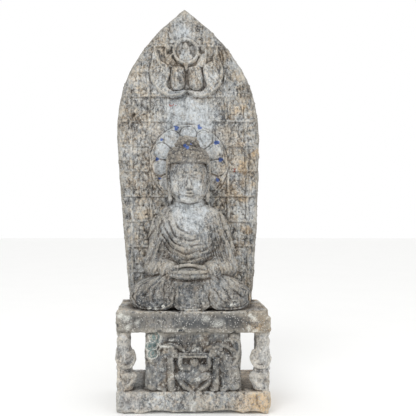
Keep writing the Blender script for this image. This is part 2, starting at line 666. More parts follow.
def robe_folds(x, y, z):
    """What the robe's cloth adds over the chest: nested curves hanging from the shoulders, each lap of
    cloth lying on the one below it, and slack folds down both sleeves."""
    px, pd, pz = figure_axes(x, y, z)
    px, pz = px + 0 * pz, pz + 0 * px
    drop = np.maximum(52.5 - pz, 0) / 1.17
    across = np.where(px > 0, px * 0.93, px) / (1 + 0.05 * np.maximum(pz - 50, 0))
    warp = 0.5 * np.sin(px * 0.33 + 0.2 * pz) + 0.25 * np.sin(px * 0.7 - 0.2 * pz)
    rho = np.sqrt(across**2 + drop**2) + warp
    looseness = 0.72 + 0.4 * np.sin(px * 0.31 - 0.9 + 0.17 * pz) * np.sin(px * 0.13 + pz * 0.4)
    looseness = looseness * np.where(px > 0, ramp(px, 15, 0) * 0.6 + 0.4, 1.0)
    total = np.zeros(px.shape)
    for edge, height in FOLD_EDGES:
        past = rho - edge
        height = height * looseness
        total = total + height * ramp(past, -0.25, 0.35) * np.exp(-np.maximum(past, 0) / 1.9)
        total = total - 0.5 * height * ramp(np.abs(past + 0.6), 0.75, 0.1)
    slack = np.exp(-((px + 4) / 13) ** 2)
    total = total * (0.6 + 0.4 * slack) * ramp(rho, 25, 23)
    total = total - 1.5 * ramp(rho, 9, 8) * ramp(pz, 38, 42) * ramp(pz, 57, 53)
    outer = ramp(np.abs(px), 15.5, 18.5)
    strand = (np.abs(px) + 0.3 * (pz - 40)) * 1.5 + 0.9 * np.sin(pz * 0.16) + np.where(px > 0, 1.5, 0.0)
    strand = np.cos(strand)
    total = total + 2.6 * strand * outer * ramp(pz, 20, 28)
    thread = np.cos((np.abs(px) + 0.4 * (pz - 40)) * 3.6 + 1.1 * np.sin(pz * 0.3) + 0.8 * px)
    total = total + 0.8 * thread * ramp(np.abs(px), 12, 15) * ramp(pz, 20, 26)
    for ring in (57.8, 60.4):
        total = total - 2.2 * ramp(np.abs(pz - ring - 0.015 * px**2), 0.6, 0.1) * ramp(np.abs(px), 9, 7)
    return total * ramp(pd, 8, 13)


def build_robe(stone):
    stone.press(spot(-30, 32, 21), spot(30, 6, 66), robe_folds)
    # The deep edge of the robe at the lower left of the chest.
    edge = [(-19.6, 19, 45), (-18, 22.6, 40), (-14.4, 25.8, 34.4), (-9.6, 28.2, 30.4), (-5, 28.6, 28.4)]
    stone.cut(bar(edge, [0.5, 1.6, 2.5, 2.3, 0.6], 14), 2)
    stone.cut(bar([(-21.5, 17.5, 47), (-21.4, 19.4, 39), (-19.2, 22, 32), (-15.6, 24.6, 27.8)],
                  [0.3, 0.7, 0.8, 0.35], 12), 3)
    # Long folds down the right side of the chest.
    for shift in (0, 2.6):
        fold = [(12.6 + 0.75 * shift, 22.5 - 0.9 * shift, 53 - 0.3 * shift),
                (15.2 + 0.7 * shift, 23.0 - 1.1 * shift, 43),
                (14.2 + 0.85 * shift, 24.8 - 1.2 * shift, 34),
                (9.9 + 1.0 * shift, 26.8 - 0.8 * shift, 28)]
        stone.cut(bar(fold, [0.3, 0.7, 0.8, 0.4], 14), 3)


def build_hands(stone):
    stone.add(ball((-1.6, 27.6, 19.4), (14, 5.8, 2.9)), 6)
    stone.add(ball((-1.2, 30.0, 21.4), (11.4, 4.6, 1.9)), 2)
    for side in (-1, 1):
        thumb = [(side * 12.6 - 1, 28.6, 22), (side * 8 - 1, 31, 23.6), (side * 3.6 - 1, 32.2, 25),
                 (-0.8, 32.6, 25.3)]
        stone.add(bar(thumb, [2.3, 1.4, 0.9, 0.8], 12), 2)
        # The cloth that hangs from the cuff over the knee.
        cloth = sided(side, (17, 27, 25), (20, 28.4, 20.4), (24.5, 29, 17), (30, 26, 13.5))
        stone.cut(bar(cloth, [0.3, 0.9, 0.9, 0.3], 12), 2)
    # The dark gap between the palms and the thumbs.
    gap = [(-8, 32.6, 23.2), (-4, 33.4, 23.6), (1, 33.4, 23.5), (6, 32.4, 23.0)]
    stone.cut(bar(gap, [0.5, 1.35, 1.25, 0.4]), 1)
    for k in range(3):
        level = 18.0 + 1.5 * k
        stone.cut(bar([(-10 + k, 34.4, level), (-1, 35.7 - 0.3 * k, level - 0.4), (8 - k, 34.4, level)],
                      [0.2, 0.4, 0.2], 8), 1)


def build_head(stone):
    d = HEAD_D
    stone.add(bar([(0, 10.4, 54), (0, 11.4, 62), (0, 12.5, 70)], [8.8, 8.5, 8.2], 8), 12)
    stone.add(ball((0, d, 77), (11.1, 10.6, 15.6)), 2)
    stone.add(ball((0, d + 1.2, 69), (10.8, 9.2, 8.8)), 4)
    stone.add(ball((0, d + 7.0, 62.4), (5.2, 2.8, 2.3)), 5)
    for side in (-1, 1):
        stone.add(ball((side * 5.4, d + 5.2, 69.6), (3.4, 3.8, 4.4)), 6)
        # Brow, eyeball and lids.
        brow = sided(side, (0.9, d + 10.2, 75.6), (3.6, d + 10.1, 77.7), (6.4, d + 8.4, 77.2),
                     (8.2, d + 5.8, 75.2))
        stone.add(bar(brow, [0.5, 0.7, 0.65, 0.4]), 3)
        stone.cut(ball((side * 4.1, d + 11.1, 74.9), (2.9, 1.5, 1.2)), 3)
        stone.add(ball((side * 4.1, d + 8.6, 73.7), (2.5, 1.5, 1.35)), 1.5)
        lid = sided(side, (1.7, d + 10.1, 73.4), (4.1, d + 10.6, 72.75), (6.5, d + 9.0, 73.5))
        stone.cut(bar(lid, [0.18, 0.34, 0.18], 8), 1)
        # The corner of the mouth.
        corner = sided(side, (2.3, d + 9.9, 66.1), (3.5, d + 9.7, 66.4), (4.1, d + 9.2, 66.2))
        stone.cut(bar(corner, [0.3, 0.5, 0.25], 6), 2)
        build_ear(stone, side)
    # Nose, lips and the line between them.
    stone.add(bar([(0, d + 9.6, 76.8), (0, d + 10.6, 73), (0, d + 12.0, 69.9)], [0.7, 0.85, 1.25], 8), 2.5)
    stone.add(ball((0, d + 11.9, 69.7), (1.5, 1.4, 1.2)), 1.5)
    for side in (-1, 1):
        stone.add(ball((side * 1.5, d + 10.9, 69.4), (1.0, 1.1, 0.9)), 1.5)
    lip = [(-2.9, d + 9.2, 66.3), (-1.1, d + 10.4, 67.0), (0, d + 10.5, 66.75), (1.1, d + 10.4, 67.0),
           (2.9, d + 9.2, 66.3)]
    stone.add(bar(lip, [0.35, 0.6, 0.6, 0.6, 0.35], 12), 1.2)
    stone.add(bar([(-2.4, d + 9.3, 65.3), (0, d + 10.4, 64.9), (2.4, d + 9.3, 65.3)], [0.4, 0.75, 0.4]), 1.2)
    stone.cut(bar([(-3, d + 10.2, 66.1), (0, d + 11.3, 65.9), (3, d + 10.2, 66.1)], [0.15, 0.28, 0.15], 8), 1)
    # The head is held to the halo by a bridge of stone.
    stone.add(bar([(0, -1, 77), (0, 7, 77)], [9, 8.6], 4), 8)
    build_hair(stone)


def build_ear(stone, side):
    d = HEAD_D
    rim = sided(side, (10.9, d + 0.4, 80.6), (11.3, d - 1.6, 82.4), (11.3, d - 3.6, 80), (11.0, d - 3, 75),
                (10.9, d - 1.8, 70), (11.0, d - 1.4, 64.5), (11.0, d - 0.6, 62.4))
    stone.add(bar(rim, [0.9, 1.1, 1.2, 1.2, 1.25, 1.35, 1.1], 20), 2)
    front = sided(side, (11.0, d + 0.6, 80.4), (11.2, d + 0.8, 75), (10.6, d + 0.6, 69), (10.9, d + 0.2, 63))
    stone.add(bar(front, [0.8, 0.8, 0.9, 1.1], 12), 2)
    stone.add(bar(sided(side, (9.9, d - 4, 81), (9.9, d - 4.4, 66)), [2.6, 2.2], 5), 3)


HAIR_LINE = 83.6
HAIR_D = HEAD_D - 0.8

# The two domes of hair: foot, top, half width, reach and how blunt the dome is.
HAIR_CAP = (HAIR_LINE, 94.4, 12.2, 10.7, 4.0)
HAIR_KNOT = (94, 100.3, 6.9, 7.1, 2.0)


def curls(stone, dome, levels, size, seed):
    """Worn snail curls in rows round a dome of hair."""
    foot, top, half, reach, power = dome
    rng = np.random.default_rng(seed)
    for index, level in enumerate(levels):
        rise = max(0.0, level - foot) / (top - foot)
        share = math.sqrt(max(0.04, 1 - rise**power))
        around = max(3, int(round(2 * math.pi * half * share / (2.3 * size))))
        for k in range(around):
            turn = 2 * math.pi * (k + 0.5 * (index % 2) + rng.uniform(-0.22, 0.22)) / around
            r = size * rng.uniform(0.35, 1.1)
            out = 0.96 * share + rng.uniform(-0.03, 0.02)
            x, depth = half * out * math.sin(turn), HAIR_D + reach * out * math.cos(turn)
            if depth > 4:
                stone.add(ball((x, depth, level + rng.uniform(-0.5, 0.5)), (r, r, 0.85 * r)), 4)


def build_hair(stone):
    d = HAIR_D
    # A full cap, straight over the brow, with a smaller dome on top.
    stone.add(hair_cap(), 2)
    stone.add(ball((0, d - 4.4, 79), (12.8, 9.8, 12.5)), 3)
    stone.add(ball((0, d + 0.6, 94), (6.9, 6.6, 6.3)), 1)
    curls(stone, HAIR_CAP, (85.1, 87.2, 89.3, 91.3, 92.8), 1.2, 4)
    curls(stone, HAIR_KNOT, (94.8, 96.7, 98.3, 99.5), 1.1, 5)
    for side in (-1, 1):
        strand = sided(side, (11.2, d + 2.6, 85.4), (11.7, d + 1.2, 80), (11.8, d - 0.6, 74),
                       (11.6, d - 3, 68))
        stone.add(bar(strand, [1.8, 1.6, 1.3, 0.8]), 3)
    # A shallow groove marks the hair's straight edge over the brow.
    groove = [(-10.4, d + 5.6), (-6, d + 10.4), (0, d + 12.1), (6, d + 10.4), (10.4, d + 5.6)]
    stone.cut(bar([(x, depth, HAIR_LINE) for x, depth in groove], [0.5, 0.6, 0.6, 0.6, 0.5], 14), 1)


def hair_cap():
    """A blunt dome with upright sides at its foot."""
    bottom, top, half, reach, power = HAIR_CAP
    centre = HAIR_D

    def distance(x, y, z):
        px, pd, pz = figure_axes(x, y, z)
        rise = np.clip((pz - bottom) / (top - bottom), 0, 2)
        share = np.sqrt((px / half) ** 2 + ((pd - centre) / reach) ** 2 + rise**power)
        return np.maximum((share - 1) * 6 * U, (bottom - pz) * U)

    low = spot(-half - 1, centre + reach + 1, bottom)
    return distance, low, spot(half + 1, centre - reach - 1, top + 1)


def build_figure(stone):
    build_trunk(stone)
    build_lap(stone)
    stone.press(spot(-38, 38, -1), spot(38, 14, 20), skirt_folds)
    build_robe(stone)
    build_hands(stone)
    build_head(stone)


# Meshes from the fields.

def box_blur(field, radius):
    """Mean over a cube of side 2 radius + 1 grid points."""
    out = field.astype(np.float32)
    for axis in range(3):
        padded = np.concatenate([np.repeat(out.take([0], axis), radius + 1, axis), out,
                                 np.repeat(out.take([-1], axis), radius, axis)], axis)
        summed = np.cumsum(padded, axis, dtype=np.float64)
        length = out.shape[axis]
        upper = np.take(summed, np.arange(2 * radius + 1, 2 * radius + 1 + length), axis)
        lower = np.take(summed, np.arange(0, length), axis)
        out = ((upper - lower) / (2 * radius + 1)).astype(np.float32)
    return out


def sample(field, low, step, points):
    """Reads the field at points (n, 3), smoothly between grid points."""
    scaled = (points - low) / step
    base = np.clip(np.floor(scaled).astype(int), 0, np.array(field.shape) - 2)
    part = np.clip(scaled - base, 0, 1).astype(np.float32)
    total = np.zeros(len(points), np.float32)
    for corner in range(8):
        offset = np.array([corner & 1, corner >> 1 & 1, corner >> 2 & 1])
        weight = np.prod(np.where(offset, part, 1 - part), axis=1)
        index = base + offset
        total += weight * field[index[:, 0], index[:, 1], index[:, 2]]
    return total


class Hollows:
    """How far each spot of a stone lies in a hollow, near 0 on a flat face, below 0 on an edge."""

    def __init__(self, field, stone):
        self.low, self.step = stone.low, stone.step
        solid = (field < 0).astype(np.float32)
        reach = (4.0, 12.0, 28.0)
        self.means = [box_blur(solid, max(1, int(round(r / self.step)))) for r in reach]

    def at(self, points):
        near, wide, far = (sample(mean, self.low, self.step, points) for mean in self.means)
        return (near - 0.5) * 1.6 + (wide - 0.5) * 1.6 + (far - 0.45) * 0.8


def mesh_of(name, stone, hollows):
    """A mesh object in metres from a stone's field, with how hollow each spot is."""
    grid = openvdb.FloatGrid(FAR)
    grid.copyFromArray(np.ascontiguousarray(np.clip(stone.field, -FAR, FAR), dtype=np.float32))
    points, triangles, quads = grid.convertToPolygons(isovalue=0.0, adaptivity=0.02)
    points = points.astype(float) * stone.step + stone.low
    mesh = bpy.data.meshes.new(name)
    faces = [tuple(int(i) for i in face) for kind in (triangles, quads) for face in kind[:, ::-1]]
    mesh.from_pydata((points * MM).tolist(), [], faces)
    mesh.update()
    attribute = mesh.attributes.new("hollow", "FLOAT", "POINT")
    attribute.data.foreach_set("value", hollows.at(points).astype(np.float32))
    made = bpy.data.objects.new(name, mesh)
    bpy.context.scene.collection.objects.link(made)
    return made


def vertex_array(mesh):
    points = np.empty(len(mesh.vertices) * 3, np.float32)
    mesh.vertices.foreach_get("co", points)
    return points.reshape(-1, 3).astype(float) / MM


def normal_array(mesh):
    normals = np.empty(len(mesh.vertices) * 3, np.float32)
    mesh.vertices.foreach_get("normal", normals)
    return normals.reshape(-1, 3).astype(float)


def triangle_count(mesh):
    mesh.calc_loop_triangles()
    return len(mesh.loop_triangles)


def apply_modifiers(made):
    graph = bpy.context.evaluated_depsgraph_get()
    done = bpy.data.meshes.new_from_object(made.evaluated_get(graph), preserve_all_data_layers=True,
                                           depsgraph=graph)
    made.modifiers.clear()
    old = made.data
    made.data = done
    bpy.data.meshes.remove(old)


def drop_crumbs(made):
    """Keeps the stone's one large shell and drops loose crumbs."""
    form = bmesh.new()
    form.from_mesh(made.data)
    seen = set()
    shells = []
    for start in form.verts:
        if start in seen:
            continue
        seen.add(start)
        shell = [start]
        for corner in shell:
            for edge in corner.link_edges:
                other = edge.other_vert(corner)
                if other not in seen:
                    seen.add(other)
                    shell.append(other)
        shells.append(shell)
    shells.sort(key=len)
    for shell in shells[:-1]:
        bmesh.ops.delete(form, geom=shell, context="VERTS")
    form.to_mesh(made.data)
    form.free()


def slim(made):
    """Brings the mesh down to the triangle limit, first where it is flat."""
    count = triangle_count(made.data)
    if count > TRIANGLE_LIMIT:
        modifier = made.modifiers.new("slim", "DECIMATE")
        modifier.ratio = TRIANGLE_LIMIT / count
        modifier.use_collapse_triangulate = True
        apply_modifiers(made)
    for polygon in made.data.polygons:
        polygon.use_smooth = True


def weather(made, seed):
    """The points moved along their normals as weather has: soft waves, crumbled grain, small bites."""
    mesh = made.data
    points, normals = vertex_array(mesh), normal_array(mesh)
    wave = 0.8 * lattice_noise(points, 24, seed, 3)
    grain = 0.55 * lattice_noise(points, 6.5, seed + 1, 2)
    bites = ramp(lattice_noise(points, 11, seed + 2, 2), 0.55, 0.95)
    move = wave + grain - 1.8 * bites
    return points + normals * move[:, None]


def set_points(made, points):
    made.data.vertices.foreach_set("co", (points * MM).astype(np.float32).ravel())
    made.data.update()


def set_value(made, name, values):
    attribute = made.data.attributes.new(name, "FLOAT", "POINT")
    attribute.data.foreach_set("value", np.clip(values, -2, 2).astype(np.float32))


def soften(made, name, share):
    """Takes a share of a value away."""
    data = made.data.attributes[name].data
    values = np.empty(len(data), np.float32)
    data.foreach_get("value", values)
    data.foreach_set("value", (values * (1 - share)).astype(np.float32))


def lean(points):
    """The leaf and the figure drift to the left as they rise."""
    rise = np.maximum(points[:, 2] - SHELF_TOP, 0) / LEAF_HEIGHT
    points = points.copy()
    points[:, 0] -= LEAF_LEAN * rise**1.5
    return points


def chips(stone, places, seed):
    """Bites out of edges: each place is (x, y, z, size)."""
    rng = np.random.default_rng(seed)
    for x, y, z, size in places:
        radii = size * rng.uniform(0.6, 1.3, 3)
        stone.cut(ellipsoid((x, y, z), radii, rng.uniform(-40, 40)), 2)


def edge_chips(low, high, count, seed):
    """Random places for chips along the twelve edges of a box."""
    rng = np.random.default_rng(seed)
    low, high = np.array(low, float), np.array(high, float)
    places = []
    for _ in range(count):
        corner = np.where(rng.random(3) < 0.5, low, high)
        axis = rng.choice(3, p=[0.5, 0.25, 0.25])
        corner[axis] = rng.uniform(low[axis], high[axis])
        places.append((*corner, rng.uniform(*CHIP_SIZES)))
    return places


# The upper stone.

def build_wall(stone, relief):
    """The leaf and the shelf it stands on."""
    stone.add(leaf_form(relief), 2)
    half = PEDESTAL_HALF_WIDTH - 1.0
    depth = (BACK_Y - FRONT_Y) / 2
    middle = (0, (BACK_Y + FRONT_Y) / 2, (SHELF_BOTTOM + SHELF_TOP) / 2)
    stone.add(block(middle, (half, depth - 1.0, (SHELF_TOP - SHELF_BOTTOM) / 2), 3.5), 3)
    shelf_low = (-half, FRONT_Y + 1, SHELF_BOTTOM)
    shelf_high = (half, BACK_Y - 1, SHELF_TOP)
    chips(stone, edge_chips(shelf_low, shelf_high, 40, 35), 32)
    broken = [(half + 8, FRONT_Y + 20, SHELF_TOP + 10, 30), (-half - 4, FRONT_Y - 2, SHELF_TOP + 4, 16),
              (-half - 3, FRONT_Y, SHELF_BOTTOM + 4, 12)]
    chips(stone, broken, 33)


def build_stele():
    """The wall and the figure are two meshes that share one field of hollows."""
    low = (-LEAF_MAP_HALF, FRONT_Y - 6, SHELF_BOTTOM - 6)
    high = (LEAF_MAP_HALF, BACK_Y + 6, SHELF_TOP + LEAF_HEIGHT + 6)
    relief = carve_leaf()
    wall = Stone(low, high, GRID_STEP)
    build_wall(wall, relief)
    figure = Stone(low, high, GRID_STEP)
    build_figure(figure)
    hollows = Hollows(np.minimum(wall.field, figure.field), wall)
    made = []
    for name, stone in (("stele_wall", wall), ("stele_figure", figure)):
        piece = mesh_of(name, stone, hollows)
        points = weather(piece, 41)
        points[:, 2] = np.maximum(points[:, 2], SHELF_BOTTOM)
        set_points(piece, points)
        slim(piece)
        drop_crumbs(piece)
        made.append(piece)
    return made, relief


# The pedestal: foot, central block with its relief, and a kneeling supporter at each front corner.

def block_tools(relief, middle, side):
    """Ways to place points and carve domes on the block: x from a middle line towards one side and z
    above the foot, both in hundredths of the supports' height."""
    def place(*spots):
        return [(middle + side * x * P, FOOT_HEIGHT + z * P) for x, z in spots]

    def dome(x, z, rx, rz, height, tilt=0.0):
        relief.dome(*place((x, z))[0], rx * P, rz * P, height, side * tilt)

    return place, dome


def carve_lion(relief, side):
    place, dome = block_tools(relief, 0, side)

    # Body with a round haunch, a chest that runs down into the straight front leg, and the other leg.
    relief.patch(place((80, 2), (81, 30), (72, 54), (56, 66), (40, 62), (36, 40), (44, 20), (50, 2)), 8, 14)
    dome(65, 26, 15, 21, 16.5, 8)
    dome(68, 9, 12, 9, 16)
    dome(53, 43, 13, 13, 15, 30)
    relief.stroke(place((60, 8), (54, 4), (49, 3)), [9, 8, 7], 15)
    relief.patch(place((46, 60), (34, 58), (31.5, 34), (31, 4), (43, 2), (45, 30)), 16.5, 9)
    dome(36, 4, 8.5, 5, 17)
    # Head, mane, muzzle, ears and eyes.
    dome(38.5, 67, 13, 13, 13)
    for k in range(9):
        angle = 2 * math.pi * k / 9
        dome(40 + 9.6 * math.cos(angle), 66 + 9.6 * math.sin(angle), 4.2, 4.2, 14.5)
    dome(34.5, 66, 8.6, 9, 17)
    dome(29.5, 62, 5.6, 5, 19)
    dome(33, 70.5, 1.9, 1.9, 19.5)
    dome(39, 76, 3.4, 3.4, 16)
    # Tail: curling locks that stand up behind.
    relief.patch(place((70, 50), (80, 56), (83, 74), (79, 95), (66, 98), (60, 88), (67, 76), (64, 64)), 9, 9)
    relief.stroke(place((68, 46), (75, 58), (71, 70), (63, 73)), [7, 8, 7, 4], 12)
    relief.stroke(place((72, 60), (79, 74), (75, 86), (66, 90)), [6, 8, 7, 4], 12)


def carve_bearer(relief):
    """A small figure that carries a tray of leaves on its head and raised arms."""
    place, dome = block_tools(relief, BEARER_X, 1)
    dome(0, 30, 18, 15, 13)
    dome(0, 40, 14, 9, 13)
    dome(0, 13, 11, 13, 10)
    dome(0, 48, 8, 8.8, 18)
    dome(0, 45, 1.8, 2.4, 19.5)
    for eye in (-3, 3):
        dome(eye, 49.5, 1.7, 1.4, 19)
    relief.stroke(place((-33, 59.5), (0, 59.5), (33, 59.5)), [5.5, 5.5, 5.5], 14)
    relief.stroke(place((-27, 64), (0, 64), (27, 64)), [3, 3, 3], 12)
    dome(0, 70, 15, 7.4, 8)
    dome(0, 76.5, 4.6, 4.6, 9)
    for k in range(-2, 3):
        relief.stroke(place((6 * k, 65), (3.6 * k, 74)), [3.2, 2.4], 10)
    for side in (-1, 1):
        place, dome = block_tools(relief, BEARER_X, side)
        relief.stroke(place((10, 39), (19, 40), (25, 45), (24.5, 57)), [11, 10.5, 9, 8], 15.5)
        relief.stroke(place((5, 20), (18, 27), (29, 25)), [16, 15, 11], 15.5)
        relief.stroke(place((28, 26), (21, 13), (5, 1)), [10.5, 10.5, 7.5], 15.5, folds=1)
        dome(5, 0, 6, 3, 15)
        # A leaf springs from the tray and arches over the lion.
        relief.stroke(place((14, 65), (26, 74), (42, 78), (56, 75), (64, 66)), [5, 7, 7, 6, 3], 8)


def carve_block():
    x_range = (-BLOCK_HALF_WIDTH - 14, BLOCK_HALF_WIDTH + 14)
    relief = Relief(x_range, (FOOT_HEIGHT - 6, SUPPORT_TOP + 6), RELIEF_STEP)
    carve_lion(relief, -1)
    carve_lion(relief, 1)
    carve_bearer(relief)
    x, z = relief.x, relief.z
    relief.height = 1.2 * relief.height * (0.86 + 0.14 * plane_noise(x, z, 40, 71, 2))
    relief.height = relief.height + 1.0 * plane_noise(x, z, 18, 72, 3)
    inner = 1 - ramp(np.abs(x), BLOCK_HALF_WIDTH - 3, BLOCK_HALF_WIDTH + 3)
    relief.height = relief.height * np.maximum(inner, 0.4)
    relief.keep_creases(7)
    return relief


def block_form(relief):
    def distance(x, y, z):
        heights = relief.at(x[:, 0, 0], z[0, 0, :])[:, None, :]
        front = (BLOCK_FACE_Y - heights) - y
        side = np.abs(x) - BLOCK_HALF_WIDTH
        side = side + 1.2 * np.sin(z / 15.0) * np.sin(y / 21.0)
        back = y - BLOCK_BACK_Y
        ends = np.maximum(FOOT_HEIGHT - 4 - z, z - SUPPORT_TOP)
        return smooth_max(smooth_max(0.9 * front, back, 5), smooth_max(side, ends, 2) + 0 * y, 5)

    low = (-BLOCK_HALF_WIDTH - 12, FRONT_Y - 2, FOOT_HEIGHT - 6)
    return distance, low, (BLOCK_HALF_WIDTH + 12, BACK_Y, SUPPORT_TOP + 2)


def build_supporter(stone, side):
    """A kneeling supporter on its post: x outwards from the post's axis, d forward of its face."""
    axis = side * (PEDESTAL_HALF_WIDTH - POST_INSET)
    face = FRONT_Y + POST_SETBACK * P

    def place(x, d, z):
        return axis + side * x * P, face - d * P, FOOT_HEIGHT + z * P

    def lump(x, d, z, rx, rd, rz, blend, tilt=0.0):
        stone.add(ellipsoid(place(x, d, z), (rx * P, rd * P, rz * P), side * tilt), blend)

    def rod(points, radii, blend=3):
        stone.add(tube([place(*p) for p in points], [r * P for r in radii], 10), blend)

    def nick(points, radii):
        stone.cut(tube([place(*p) for p in points], [r * P for r in radii], 10), 1)

    depth = POST_DEPTH - POST_SETBACK * P
    stone.add(block((axis + 3 * side, face + depth / 2, (FOOT_HEIGHT + SUPPORT_TOP) / 2),
                    (15, depth / 2, (SUPPORT_TOP - FOOT_HEIGHT) / 2 + 2), 5), 3)
    # Hair, head, chin, shoulders, chest, waist, knees and feet.
    lump(3, -1, 97, 12.5, 9, 6, 8)
    lump(3.4, 2.5, 83, 12, 10, 13, 5)
    lump(2, 8, 79, 7, 4.5, 6, 6)
    lump(2.4, -0.5, 67, 13.4, 11, 10, 12)
    lump(0.4, 1, 54, 15, 12, 13.5, 14)
    lump(2.4, 0.5, 38, 13, 11.4, 9, 12)
    lump(-2.8, 1, 21, 17.4, 11, 15, 10, tilt=6)
    lump(0.5, 0, 6, 14, 11, 10, 10)
    # Face: brow, nose, cheeks and mouth.
    rod([(-3.5, 9.6, 87.5), (2, 12, 88.6), (7.5, 9.6, 87.5)], [1.3, 1.5, 1.3], 2)
    rod([(2, 12, 87), (2, 13, 82)], [1.3, 2.0], 1.5)
    for cheek in (-2.1, 6.1):
        lump(cheek, 9.5, 81, 3, 2.6, 3, 2)
    nick([(-1.5, 12.4, 77), (2, 13.4, 76.4), (5.5, 12.4, 77)], [0.6, 0.9, 0.6])
    for eye in (-1.5, 5.5):
        nick([(eye - 1.6, 11.8, 84.6), (eye + 1.6, 11.8, 84.6)], [0.8, 0.8])
    # Arms folded on the belly, sash, thighs and shins.
    rod([(10.5, 2, 66), (13, 3, 54), (8, 10, 44), (0, 13.4, 42)], [4.2, 4.4, 3.8, 3])
    rod([(-12, 2, 66), (-15, 3, 54), (-10, 10, 44), (-3, 13.4, 42)], [4.2, 4.4, 3.8, 3])
    nick([(-13, 9, 50), (-1.5, 14.8, 47), (10, 9, 50)], [0.6, 0.9, 0.6])
    nick([(-10, 9, 69), (-1, 13, 65.5), (8, 9, 69)], [0.5, 0.8, 0.5])
    nick([(-1.5, 14.6, 56), (-1.5, 14.8, 54.8)], [1.3, 1.1])
    rod([(8, 5, 30), (-3, 10, 26), (-15, 6, 27)], [6.5, 6.5, 5.6])
    rod([(-15, 6, 26), (-5, 9, 12), (8, 6, 4)], [5.4, 5, 4.2])
    rod([(9, 5, 28), (10, 5, 14), (8, 6, 3)], [5, 4.6, 4])
    lump(6, 8, 2.6, 7, 5, 3.4, 2)
    nick([(-14, 10, 20), (-4, 14.5, 19), (6, 10, 17)], [0.6, 0.9, 0.6])
    for k in range(3):
        nick([(-12 + 7 * k, 12.5, 33 - k), (-10 + 7 * k, 15, 24), (-12 + 7 * k, 13, 12)], [0.3, 0.55, 0.3])


def build_foot(stone):
    half = PEDESTAL_HALF_WIDTH - 1.0
    depth = (BACK_Y - FRONT_Y) / 2 - 1.0
    centre = (0, (BACK_Y + FRONT_Y) / 2, FOOT_HEIGHT / 2)
    stone.add(block(centre, (half, depth, FOOT_HEIGHT / 2), 5), 3)
    # The lower front edge has crumbled away in scoops.
    scoops = ((-96, 46, 11), (-20, 40, 7), (30, 30, 9), (92, 50, 12), (168, 30, 9), (-176, 18, 6))
    for x, width, rise in scoops:
        stone.cut(ellipsoid((x, FRONT_Y - 4, -1), (width, 26, rise)), 3)
    chips(stone, edge_chips((-half, FRONT_Y + 1, 0), (half, BACK_Y - 1, FOOT_HEIGHT), 40, 51), 52)
    chips(stone, [(-91, FRONT_Y, 9, 8), (-80, FRONT_Y - 1, 14, 5)], 54)
    broken = [(half + 16, FRONT_Y + 4, 6, 34), (half + 2, FRONT_Y, FOOT_HEIGHT + 2, 11),
              (-half, FRONT_Y, 3, 12)]
    chips(stone, broken, 53)


def foot_marks(x, y, z):
    """Faint worn forms along the foot's front."""
    wave = np.cos(x / 17.0 + 0.8 * np.sin(z / 11.0)) * np.sin(z / 8.0 + x / 60.0)
    return 1.4 * wave * ramp(y, FRONT_Y + 12, FRONT_Y + 2) * ramp(z, 4, 12) * ramp(z, 60, 50)


def build_pedestal():
    low = (-PEDESTAL_HALF_WIDTH - 8, FRONT_Y - 8, -6)
    high = (PEDESTAL_HALF_WIDTH + 8, BACK_Y + 8, SUPPORT_TOP + 6)
    stone = Stone(low, high, GRID_STEP)
    relief = carve_block()
    stone.add(block_form(relief), 2)
    build_supporter(stone, -1)
    build_supporter(stone, 1)
    build_foot(stone)
    front_high = (PEDESTAL_HALF_WIDTH, FRONT_Y + 14, FOOT_HEIGHT)
    stone.press((-PEDESTAL_HALF_WIDTH, FRONT_Y - 4, 0), front_high, foot_marks)
    # The top is cut level, where the upper stone is bedded.
    where, _, _, z = stone.window((low[0], low[1], SUPPORT_TOP - 20), high)
    stone.field[where] = np.maximum(stone.field[where], z - SUPPORT_TOP)
    made = mesh_of("pedestal_carving", stone, Hollows(stone.field, stone))
    points = weather(made, 61)
    points[:, 2] = np.clip(points[:, 2], 0, SUPPORT_TOP)
    set_points(made, points)
    slim(made)
    drop_crumbs(made)
    return made, relief


# Colour: where the stone is bleached, dark, stained or painted, written on the points.

# Spots are (x, height, size): the blue ones from the halo's centre, the others from the shelf's top.
BLUE_ON_HALO = [(-35, 111, 9), (35, 113, 10), (-83, 74, 9), (88, 66, 11), (-97, 15, 9), (98, 9, 9),
                (-92, -48, 5), (88, -50, 8), (-62, -95, 6)]
BLUE_ON_HAIR = [(-14, 44, 6), (-5, 38, 6), (3, 48, 4)]
RED_PAINT = [(-54, 612, 6), (-46, 614, 5), (-38, 612, 4), (142, 407, 6), (146, 414, 4)]
SHELF_CRUST = [(171, -18, 8), (154, -41, 7), (-190, -20, 13), (-186, -44, 9), (-205, -12, 9),
               (160, -14, 10), (176, -30, 9), (118, 22, 7), (108, 18, 4), (-82, 12, 5), (-104, 9, 5),
               (-120, 8, 4)]
DAUBS = ((-110, 214, 15), (-102, 202, 10), (-123, 188, 12), (-109, 189, 10), (-114, 168, 14))


def ragged_spots(x, height, places, fleck, raggedness, core):
    """How far each point lies in one of some ragged spots. core is the share that is full strength."""
    total = np.zeros(len(x))
    for cx, cz, size in places:
        away = np.hypot(x - cx, height - cz)
        total = np.maximum(total, ramp(away + raggedness * fleck, size, core * size))
    return total


